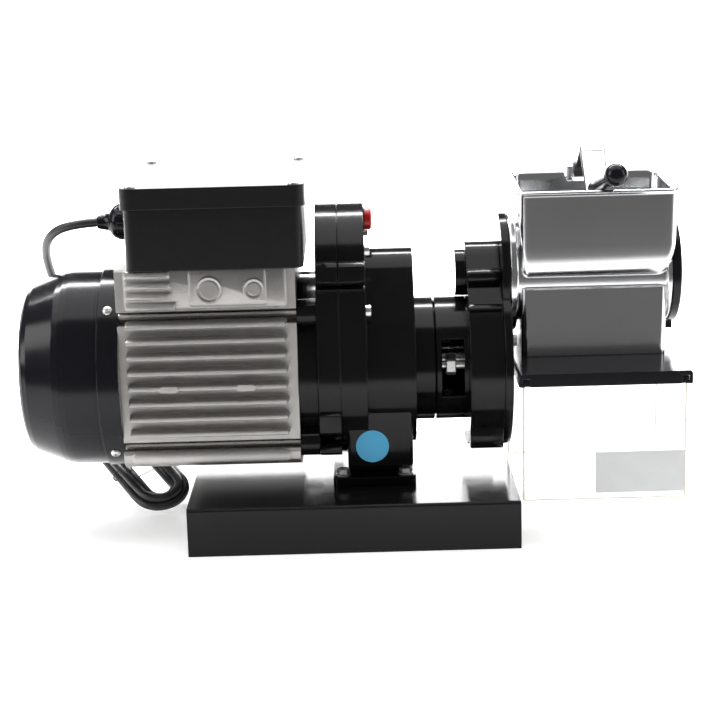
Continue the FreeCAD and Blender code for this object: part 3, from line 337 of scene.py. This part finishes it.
def rounded(x0, x1, y0, y1, radius, count=6):
    """Corner points of a rectangle with round corners."""
    spots = []
    for index, (x, y) in enumerate(((x1 - radius, y1 - radius), (x0 + radius, y1 - radius),
                                    (x0 + radius, y0 + radius), (x1 - radius, y0 + radius))):
        for step in range(count + 1):
            angle = math.pi / 2 * (index + step / count)
            spots.append((x + radius * math.cos(angle), y + radius * math.sin(angle)))
    return spots


def loft(shape, loops, capped=True):
    """Skin over loops of world points with the same count."""
    rings = [[shape.verts.new(Vector(spot) * MM) for spot in loop] for loop in loops]
    count = len(rings[0])
    for low, high in zip(rings, rings[1:]):
        for step in range(count):
            after = (step + 1) % count
            shape.faces.new((low[step], low[after], high[after], high[step]))
    if capped:
        shape.faces.new(list(reversed(rings[0])))
        shape.faces.new(rings[-1])


def along_x(shape, outline, levels):
    """Outline in Y and Z, carried along X; levels are (x, share of the outline from its middle)."""
    low = [min(spot[i] for spot in outline) for i in (0, 1)]
    high = [max(spot[i] for spot in outline) for i in (0, 1)]
    middle = [(a + b) / 2 for a, b in zip(low, high)]
    loops = []
    for x, inset in levels:
        share = [1 - inset / (b - a) * 2 for a, b in zip(low, high)]
        loops.append([(x, middle[0] + (y - middle[0]) * share[0], middle[1] + (z - middle[1]) * share[1])
                      for y, z in outline])
    loft(shape, loops)


def on_side(y, outline):
    """Outline in X and Z, placed at a depth Y."""
    return [(x, y, z) for x, z in outline]


def lug_outline(sign, inner, depth, z0, z1, across, rise):
    """Side lug in Y and Z, from inner out to depth, with its outer corners cut off."""
    return [(sign * y, z) for y, z in ((inner, z0), (depth - across, z0), (depth, z0 + rise),
                                       (depth, z1 - rise), (depth - across, z1), (inner, z1))]


# Grating head: rectangular hopper with a rolled rim, groove, chute, barrel and hinge ears
casting = bmesh.new()
left, top, drum_z = 115.25, 232.0, 172.0
shell = [
    (118.7, 115.95, 214.05, 36.5, 5), (165, 115.95, 214.05, 36.5, 5), (165.6, 115.95, 213.6, 36.1, 5),
    (165.7, 116.4, 211.5, 31.6, 3), (173.2, 116.4, 211.5, 31.6, 3), (173.4, 115.8, 212.5, 33.4, 5),
    (174.4, 115.5, 213.6, 34.6, 6), (176, left, 215.4, 35.5, 6), (179, left, 217.4, 36.5, 6),
    (183, left, 218.9, 37.3, 6), (188, left, 219.8, 37.8, 6), (194, left, 220.2, 38, 6),
    (228.6, left, 220.2, 38, 6), (229.4, 113.4, 220.9, 38.8, 6.6),
    (230.4, 112.2, 221.5, 39.4, 7), (231.4, 112.6, 221.3, 39.1, 7), (231.95, 114, 220.4, 38.3, 6.4),
    (231.7, 116, 219, 37, 5.5), (230.4, 117.6, 217.8, 35.8, 5), (228, 118.2, 217.3, 35.1, 5),
    (190, 118.25, 217.2, 35, 5), (174, 118.25, 210.5, 26, 4), (150, 118.25, 210.5, 26, 4),
]
back_lift, lift_start = 3.4, 224
hopper_loops = []
for z, x0, x1, half, radius in shell:
    corners = rounded(x0, x1, -half, half, radius)
    lift = max(0, z - lift_start) / (top - lift_start) * back_lift
    loop = [(x, y, z + lift * (y + 39) / 78) for x, y in corners]
    dip = min(z, 228.6)
    loop[7:7] = [(185, half, z + lift), (182.5, half, dip), (156, half, dip), (153.5, half, z + lift)]
    hopper_loops.append(loop)
loft(casting, hopper_loops)
lathe(casting, [(40, 0), (41, 0.8), (41, 4.4), (40.2, 5.4), (34.2, 5.5), (34.2, 105.9), (36, 106),
                (37, 106.8),
                (37, 109.4), (36.4, 110)], (108.25, 0, drum_z), (1, 0, 0), 72)
for x in (155.05, 178.45):
    ear = [(37, 220), (47, 231), (47, 237), (45.8, 239.8), (43, 241), (40.6, 241), (37, 238.5)]
    along_x(casting, ear, ((x, 0.6), (x + 0.7, 0), (x + 4.3, 0), (x + 5, 0.6)))
hopper = add_mesh("hopper_casting", casting, "frame", "polished_aluminium")
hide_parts("grater_body")
# Dark band laid in the hopper's groove: painted shade standing in for the shadowed, dark-reflecting groove
strip = bmesh.new()
loft(strip, [[(x, y, z) for x, y in rounded(116, 212, -half, half, 3)] for z, half in
             ((165.9, 32), (166.2, 32.7), (172.5, 32.7), (172.9, 32))])
add_mesh("groove_painted_shade_strip", strip, "frame", "satin_black")

# Press lever: leaning plate with a round top, strap and knuckle behind it, ball on a tapered neck
lever = bmesh.new()
foot_mid, lean = Vector((169.7, -17.0, 224.2)), Vector((0, 34.0, 37.2))
height = lean.length
lean.normalize()
thick = Vector((0, lean.z, -lean.y)) * 2
outline = [(-7.8, 0), (7.8, 0), (8.7, height - 9.5)]
outline += [(8.7 * math.cos(math.pi * step / 14), height - 9.5 + 9.5 * math.sin(math.pi * step / 14))
            for step in range(1, 14)] + [(-8.7, height - 9.5)]
side_way = Vector((1, 0, 0))


def plate_loop(across, along, depth):
    """The plate's outline, drawn in by a share across and along, at a depth."""
    middle = height / 2
    return [foot_mid + side_way * a * across + lean * (middle + (b - middle) * along) + thick * depth
            for a, b in outline]


loft(lever, [plate_loop(1 - inset / 9, 1 - inset / 9, depth)
             for depth, inset in ((0, 0.5), (0.25, 0), (0.75, 0), (1, 0.5))])
strap = [(8.5, 252.8), (12, 254.6), (17, 254.2), (25, 250.4), (33, 244.5), (37.5, 240.5), (36.3, 239),
         (32, 242.6), (24, 248.4), (17, 252), (13, 252.2), (9.5, 250.6)]
along_x(lever, strap, ((162, 0), (176.5, 0)))
ring = [(math.cos(math.pi * step / 16), math.sin(math.pi * step / 16)) for step in range(32)]
hinge_y, hinge_z = 42, 236
knuckle = ((160.5, 3.06), (160.5, 5.5), (160.9, 6), (177.6, 6), (178, 5.5), (178, 3.06), (160.5, 3.06))
tube = [[(x, hinge_y + radius * a, hinge_z + radius * b) for a, b in ring] for x, radius in knuckle]
loft(lever, tube, False)
# Darkened copy of the lever's steel for the plate's body and edges, strap and knuckle, while the front face
# is chrome: painted shade on one steel part
looks["lever_painted_shade_steel"] = shader("lever_painted_shade_steel", (0.1, 0.1, 0.105), metallic=0.6, rough=0.4, bump=0.1,
                             scale=800)
lever_plate = add_mesh("lever_plate", lever, "press_lever", "lever_painted_shade_steel")
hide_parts("press_arm")
face = bmesh.new()
loft(face, [plate_loop(0.9, 0.955, depth) for depth in (0.1, -0.05)])
add_mesh("lever_face", face, "press_lever", "chrome")
grip_shape = bmesh.new()
grip_from, ball_mid = Vector((167.2, -17.8, 229.6)), Vector((177.2, -46.5, 243.0))
reach = (ball_mid - grip_from).length
ball_radius = 7.9
ball = []
for step in range(15):
    angle = math.pi * (0.22 + 0.76 * step / 14)
    ball.append((ball_radius * math.sin(angle), reach - ball_radius * math.cos(angle)))
lathe(grip_shape, [(4.8, 0.2), (5.6, 1.4), (5.5, 12), (4.7, 24)] + ball, grip_from, ball_mid - grip_from, 40)
ball_grip = add_mesh("ball_grip", grip_shape, "press_lever", "black_plastic")
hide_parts("lever_grip")

# Motor frame: fins with round ends, top block with field, ribs and knockouts, lower panel
motor = bmesh.new()
frame_start, frame_end = -154.95, -35.95
fin_count, fin_pitch, fin_middle = 8, 10.57, 116.2
pad_pitch, pad_top, pad_half = 7.1, 187.2, 2.6
mark_height = 110.9
half_core = ((18, 43.5), (30, 46.5), (42, 50), (52, 53), (58, 56.2), (61, 58.4), (61.6, 61), (61.6, 64),
             (60, 66), (56, 65.6), (54.2, 62), (45, 62), (45, 72), (59, 72), (59, 152), (45, 152),
             (45, 162), (60, 162), (60, 189), (58, 191))
core = [(y, z) for y, z in half_core] + [(-y, z) for y, z in reversed(half_core)]
along_x(motor, core, ((frame_start, 0), (frame_end, 0)))
for sign in (-1, 1):
    for step in range(fin_count):
        z = fin_middle + fin_pitch * (step - (fin_count - 1) / 2)
        loops = []
        for depth, half, end in ((58.5, 2.6, 0), (64, 1.9, 0.5), (68.8, 1.4, 0.9), (69.6, 0.8, 1.6)):
            fin = rounded(frame_start + 5 + end, frame_end - 6 - end, z - half, z + half, half * 0.98, 5)
            loops.append(on_side(sign * depth, fin))
        loft(motor, loops)
    for x0, x1, z0, z1, depth, radius in (
        (-149, -42, 163.5, 190.8, 62, 3), (-106, -55, 165.5, 190.2, 63, 2.5),
        (-149, -42, 57.6, 65.4, 62.6, 2.6),
    ):
        loops = []
        for share, inset in ((59, 0), (depth - 0.8, 0), (depth, 0.9)):
            panel = rounded(x0 + inset, x1 - inset, z0 + inset, z1 - inset, radius, 4)
            loops.append(on_side(sign * share, panel))
        loft(motor, loops)
    for step in range(4):
        z = pad_top - pad_pitch * step
        reach = -118 if step < 3 else -115
        loops = []
        for share, inset in ((61, 0), (63.2, 0.2), (63.9, 0.9)):
            strip = rounded(-148.5 + inset, reach - inset,
                            z - pad_half + inset, z + pad_half - inset, 1.4, 4)
            loops.append(on_side(sign * share, strip))
        loft(motor, loops)
    for x, radius in ((-92.6, 9.0), (-63.0, 7.2)):
        knockout = [(radius, 0), (radius, 0.8), (radius - 0.7, 1.1), (radius - 1.6, 0.7),
                    (radius - 2.2, 0.2), (radius - 2.6, 0.15), (radius - 3, 0.6), (0.02, 0.6)]
        lathe(motor, knockout, (x, sign * 62.9, 176.4), (0, sign, 0), 36)
    for x in (-121.7, -70.6):
        outline = [(x - 7.4, 0), (x - 5, 2.1), (x + 5, 2.1), (x + 7.4, 0), (x + 5, -2.1), (x - 5, -2.1)]
        loft(motor, [[(a, sign * depth, mark_height + b) for a, b in outline] for depth in (66, 70)])
motor_frame = add_mesh("motor_frame_casting", motor, "frame", "cast_aluminium")
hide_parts("stator_frame")

# Reducer: side lugs of both case halves, foot block and wide flange
lugs = bmesh.new()
for sign in (-1, 1):
    for z0, z1, depth in ((171, 176, 60.5), (177, 191.5, 63.5), (60, 66, 62), (74, 90, 62.5)):
        outline = lug_outline(sign, 52, depth, z0, z1, 2.5, 2.2)
        along_x(lugs, outline, ((-22.6, 0.5), (-21.8, 0), (-8.3, 0), (-7.9, 0.4)))
add_mesh("rear_case_lugs", lugs, "frame", "gloss_black")
lugs = bmesh.new()
for sign in (-1, 1):
    for z0, z1, depth in ((171, 176, 60.5), (177, 191.5, 63.5)):
        outline = lug_outline(sign, 52, depth, z0, z1, 2.5, 2.2)
        along_x(lugs, outline, ((-7.6, 0.4), (-7.2, 0), (9.4, 0), (10.2, 0.5)))
for x0, levels in (
    (-14.5, ((62, 40), (63, 43), (64.5, 44), (90, 44), (92, 42))),
    (-4.2, ((39, 30.6), (48.5, 30.6), (49.2, 51.4), (50.4, 52), (92, 52), (93.5, 50.5))),
):
    loft(lugs, [[(x, y, h) for x, y in rounded(x0, 40.2, -depth, depth, 2.5)] for h, depth in levels])
add_mesh("foot_block", lugs, "frame", "gloss_black")

# Grating gearbox: stepped ribs on top and lower screw lugs
ribs = bmesh.new()
for sign in (-1, 1):
    for z0, z1, depth in ((170.5, 178.5, 35), (153, 157.5, 47), (58, 74, 48)):
        outline = lug_outline(sign, depth - 14, depth, z0, z1, 2, 2)
        along_x(ribs, outline, ((79.6, 0.5), (80.4, 0), (101.4, 0), (102.2, 0.5)))
add_mesh("gearbox_ribs", ribs, "frame", "gloss_black")

# Studs and pale hex nuts in the collar window
nuts = bmesh.new()
for y, z, radius in ((-30, 113.5, 7.3), (30, 113.5, 7.3), (0, 82, 5.9), (0, 142, 5.9)):
    lathe(nuts, [(2.9, 0), (2.9, 21.7)], (57.8, y, z), (1, 0, 0), 24)
    hexagon = [(radius - 0.7, 0), (radius, 0.6), (radius, 6.4), (radius - 0.7, 7)]
    lathe(nuts, hexagon, (64.2, y, z), (1, 0, 0), 6)
stud_nuts = add_mesh("stud_nuts", nuts, "frame", "zinc")
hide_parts("neck_studs")

# Bare pale label on the bin and a plain round sticker on the foot
label = bmesh.new()
block(label, (160, -82.15, 35.5), (219, -81.98, 64))
looks["paper"] = shader("paper", (0.66, 0.665, 0.67), rough=0.5, bump=0.1, scale=900)
looks["blue"] = shader("blue", (0.05, 0.42, 0.72), rough=0.4, bump=0.05, scale=900)
add_mesh("bin_label", label, "bin", "paper")
sticker = bmesh.new()
lathe(sticker, [(11.2, 0), (11.2, 0.12), (0.01, 0.12)], (12.6, -51.98, 63.1), (0, -1, 0), 48)
add_mesh("foot_sticker", sticker, "frame", "blue")

# Pale lines along the clear bin's thick edges: the plastic's own yellow tint, with painted sheen standing in
# for the grazing reflection of its edge-on walls
looks["clear_edge_painted_sheen"] = shader("clear_edge_painted_sheen", (0.7, 0.68, 0.54), rough=0.12, bump=0.03, scale=200, alpha=0.75)
edges = bmesh.new()
low, high = [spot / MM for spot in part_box("collecting_bin")]
top_z, thick_edge = 109.4, 1.3
for x in (low.x + 0.05, high.x - thick_edge - 0.05):
    for y in (low.y + 0.05, high.y - thick_edge - 0.05):
        block(edges, (x, y, low.z + 1.4), (x + thick_edge, y + thick_edge, top_z))
for z in (low.z + 0.1, top_z):
    for y in (low.y + 0.05, high.y - thick_edge - 0.05):
        block(edges, (low.x + 1.2, y, z), (high.x - 1.2, y + thick_edge, z + 0.9))
    for x in (low.x + 0.05, high.x - thick_edge - 0.05):
        block(edges, (x, low.y + 1.2, z), (x + thick_edge, high.y - 1.2, z + 0.9))
add_mesh("bin_edge_painted_sheen", edges, "bin", "clear_edge_painted_sheen")
caps = bmesh.new()
for x0, x1 in ((low.x + 0.1, low.x + 5.2), (high.x - 5.2, high.x - 0.1)):
    block(caps, (x0, -84.6, 110.4), (x1, -82.05, 115.1))
add_mesh("bin_lip_caps", caps, "bin", "gloss_black")

# Wire tie round the hank
tie = bmesh.new()
along = hank_turn @ Vector((1, 0, 0))
centre = hank_place + hank_turn @ Vector((30, 0, 0))
across, out = hank_turn @ Vector((0, 1, 0)), hank_turn @ Vector((0, 0, 1))
last = None
for step in range(49):
    angle = 2 * math.pi * step / 48
    spot = centre + across * 22.6 * math.cos(angle) + out * 8.6 * math.sin(angle)
    ring = [tie.verts.new((spot + along * a + (across * math.cos(angle) + out * math.sin(angle)) * b) * MM)
            for a, b in ((0.6, 0), (0, 0.6), (-0.6, 0), (0, -0.6))]
    if last:
        for k in range(4):
            tie.faces.new((last[k], last[(k + 1) % 4], ring[(k + 1) % 4], ring[k]))
    last = ring
add_mesh("hank_tie", tie, "frame", "cord_black")

# Burrs of the grating drum
burrs = bmesh.new()
for row in range(26):
    for column in range(30):
        angle = 2 * math.pi * (column + 0.5 * (row % 2)) / 30
        way = Vector((0, math.cos(angle), math.sin(angle)))
        spot = Vector((119 + row * 3.6, 0, 172)) + way * 29.9
        lathe(burrs, [(1.0, 0), (0.7, 0.3), (0.3, 0.7)], spot, way, 5)
add_mesh("drum_burrs", burrs, "roller", "steel")

# Floor with a curved backdrop, and studio light; the floor's colour and glow fall to dark grey towards the
# front, painted shade for the unlit front of the studio that the glossy parts reflect
looks["floor"] = shader("floor", (0.93, 0.93, 0.93), rough=0.6, scale=30, shade_spread=0.01)
paint = looks["floor"].node_tree
main = paint.nodes["Principled BSDF"]
place = paint.nodes.new("ShaderNodeTexCoord")
split = paint.nodes.new("ShaderNodeSeparateXYZ")
# Painted shade: the floor's colour and glow darken towards the front
front_painted_shade = paint.nodes.new("ShaderNodeMapRange")
for name, value in (("From Min", -0.5), ("From Max", -0.36), ("To Min", 0.1), ("To Max", 0.93)):
    front_painted_shade.inputs[name].default_value = value
grey = paint.nodes.new("ShaderNodeCombineColor")
paint.links.new(place.outputs["Object"], split.inputs[0])
paint.links.new(split.outputs["Y"], front_painted_shade.inputs["Value"])
for index in range(3):
    paint.links.new(front_painted_shade.outputs["Result"], grey.inputs[index])
paint.links.new(grey.outputs[0], main.inputs["Base Color"])
paint.links.new(grey.outputs[0], main.inputs["Emission Color"])
main.inputs["Emission Strength"].default_value = 0.45
sweep = [(-1.6, 0), (1.6, 0)]
for step in range(1, 13):
    angle = math.pi / 2 * step / 12
    sweep.append((1.6 + 0.9 * math.sin(angle), 0.9 - 0.9 * math.cos(angle)))
sweep.append((2.5, 1.0))
stage_points, stage_faces = [], []
for y, z in sweep:
    stage_points += [(-3.2, y, z), (3.2, y, z)]
for step in range(len(sweep) - 1):
    stage_faces.append((2 * step, 2 * step + 1, 2 * step + 3, 2 * step + 2))
floor_data = bpy.data.meshes.new("floor")
floor_data.from_pydata(stage_points, [], stage_faces)
for face in floor_data.polygons:
    face.use_smooth = True
floor = bpy.data.objects.new("floor", floor_data)
scene.collection.objects.link(floor)
floor_data.materials.append(looks["floor"])
world = bpy.data.worlds.new("studio")
scene.world = world
world.use_nodes = True
world.node_tree.nodes["Background"].inputs["Color"].default_value = (1, 1, 1, 1)
world.node_tree.nodes["Background"].inputs["Strength"].default_value = 0.16


def soft_light(name, place, target, width, height, power):
    data = bpy.data.lights.new(name, "AREA")
    data.shape = "RECTANGLE"
    data.size = width
    data.size_y = height
    data.energy = power
    lamp = bpy.data.objects.new(name, data)
    scene.collection.objects.link(lamp)
    lamp.location = place
    lamp.rotation_euler = (Vector(target) - Vector(place)).to_track_quat("-Z", "Y").to_euler()


soft_light("top", (0, 0.4, 1.9), (0, 0.3, 0), 3.0, 2.2, 50)
soft_light("left", (-1.7, -0.5, 0.9), (0, 0, 0.12), 0.7, 1.2, 14)
soft_light("right", (1.8, -0.4, 0.8), (0, 0, 0.12), 0.5, 1.2, 7)
soft_light("backdrop", (0, 1.2, 1.9), (0, 2.4, 0.5), 3.0, 0.8, 310)
